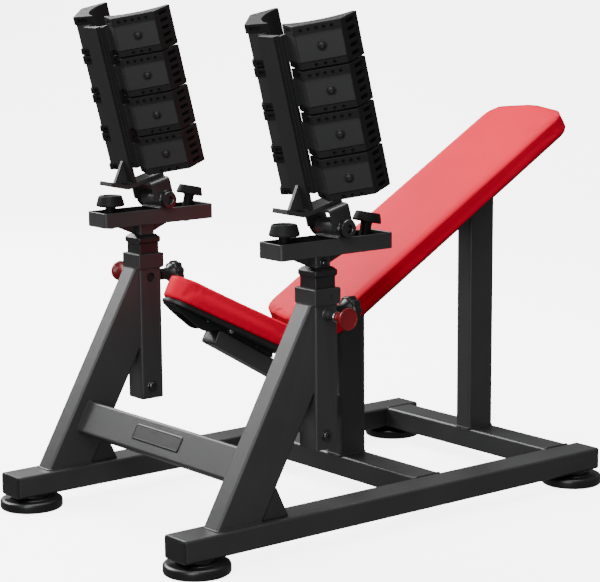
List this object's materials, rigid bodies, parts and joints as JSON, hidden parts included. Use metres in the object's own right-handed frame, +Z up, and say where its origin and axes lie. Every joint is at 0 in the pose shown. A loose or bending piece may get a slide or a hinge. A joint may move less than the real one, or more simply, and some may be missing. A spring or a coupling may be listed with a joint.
{
  "type": "incline dumbbell press bench",
  "caption": "Fixed incline bench with a padded seat and backrest and two height-adjustable masts, each carrying a tilting rubber-padded dumbbell cradle.",
  "frame": {"origin": "middle of the footprint, on the floor", "axes": "+X towards the head end of the backrest (the user sits facing -X), +Y to the user's right, +Z up"},
  "size_m": [1.356, 0.9412, 1.1243],
  "materials": {
    "painted_steel": "satin charcoal powder coat",
    "dark_steel": "matte black powder coat",
    "bright_bolt": "blackened steel with bright edges",
    "rubber": "matte moulded rubber",
    "black_plastic": "fine-grained moulding",
    "red_plastic": "smooth moulding",
    "red_vinyl": "grained upholstery vinyl",
    "cushion_board": "matte moulded back shell"
  },
  "bodies": {
    "frame": {"rail_left": "painted_steel", "rail_right": "painted_steel", "foot_front_left": "rubber", "foot_front_right": "rubber", "foot_rear_left": "rubber", "foot_rear_right": "rubber", "leg_left": "painted_steel", "leg_right": "painted_steel", "upright_left": "painted_steel", "upright_right": "painted_steel", "guide_sleeve_left": "black_plastic", "guide_sleeve_right": "black_plastic", "mid_crossmember": "painted_steel", "rear_crossmember": "painted_steel", "front_crossmember": "painted_steel", "mid_post": "painted_steel", "rear_post": "painted_steel", "seat_tube": "painted_steel", "seat_bracket": "dark_steel", "seat_board": "cushion_board", "seat_pad": "red_vinyl", "back_board": "cushion_board", "back_pad": "red_vinyl"},
    "left_lift": {"lift_tube_left": "painted_steel", "tray_left": "painted_steel", "pivot_barrel_left": "painted_steel", "front_bumper_left": "rubber", "rear_bumper_left": "rubber"},
    "left_cradle": {"cradle_bracket_left": "painted_steel", "spine_left": "dark_steel", "pivot_bolt_left": "bright_bolt", "pad_left_outer_1": "rubber", "pad_left_outer_2": "rubber", "pad_left_outer_3": "rubber", "pad_left_outer_4": "rubber", "pad_left_inner_1": "rubber", "pad_left_inner_2": "rubber", "pad_left_inner_3": "rubber", "pad_left_inner_4": "rubber"},
    "left_pin": {"pin_knob_left": "red_plastic"},
    "left_clamp": {"clamp_knob_left": "black_plastic"},
    "right_lift": {"lift_tube_right": "painted_steel", "tray_right": "painted_steel", "pivot_barrel_right": "painted_steel", "front_bumper_right": "rubber", "rear_bumper_right": "rubber"},
    "right_cradle": {"cradle_bracket_right": "painted_steel", "spine_right": "dark_steel", "pivot_bolt_right": "bright_bolt", "pad_right_outer_1": "rubber", "pad_right_outer_2": "rubber", "pad_right_outer_3": "rubber", "pad_right_outer_4": "rubber", "pad_right_inner_1": "rubber", "pad_right_inner_2": "rubber", "pad_right_inner_3": "rubber", "pad_right_inner_4": "rubber"},
    "right_pin": {"pin_knob_right": "red_plastic"},
    "right_clamp": {"clamp_knob_right": "black_plastic"}
  },
  "joints": [
    {"name": "left_height", "type": "slide", "parent": "frame", "child": "left_lift", "axis": [0, 0, 1], "range_m": [0, 0.2]},
    {"name": "left_cradle_tilt", "type": "hinge", "parent": "left_lift", "child": "left_cradle", "pos_m": [-0.24803, -0.3226, 0.6763], "axis": [0, 1, 0], "range_deg": [-6, 22]},
    {"name": "left_pin_pull", "type": "slide", "parent": "frame", "child": "left_pin", "axis": [0, -1, 0], "range_m": [0, 0.012], "stiffness_N_per_m": 900, "springref_m": -0.004},
    {"name": "left_clamp_turn", "type": "hinge", "parent": "frame", "child": "left_clamp", "pos_m": [-0.20153, -0.3226, 0.496], "axis": [1, 0, 0], "range_deg": [0, 360]},
    {"name": "right_height", "type": "slide", "parent": "frame", "child": "right_lift", "axis": [0, 0, 1], "range_m": [0, 0.2]},
    {"name": "right_cradle_tilt", "type": "hinge", "parent": "right_lift", "child": "right_cradle", "pos_m": [-0.24803, 0.3226, 0.6763], "axis": [0, 1, 0], "range_deg": [-6, 22]},
    {"name": "right_pin_pull", "type": "slide", "parent": "frame", "child": "right_pin", "axis": [0, 1, 0], "range_m": [0, 0.012], "stiffness_N_per_m": 900, "springref_m": -0.004},
    {"name": "right_clamp_turn", "type": "hinge", "parent": "frame", "child": "right_clamp", "pos_m": [-0.20153, 0.3226, 0.496], "axis": [1, 0, 0], "range_deg": [0, 360]}
  ]
}
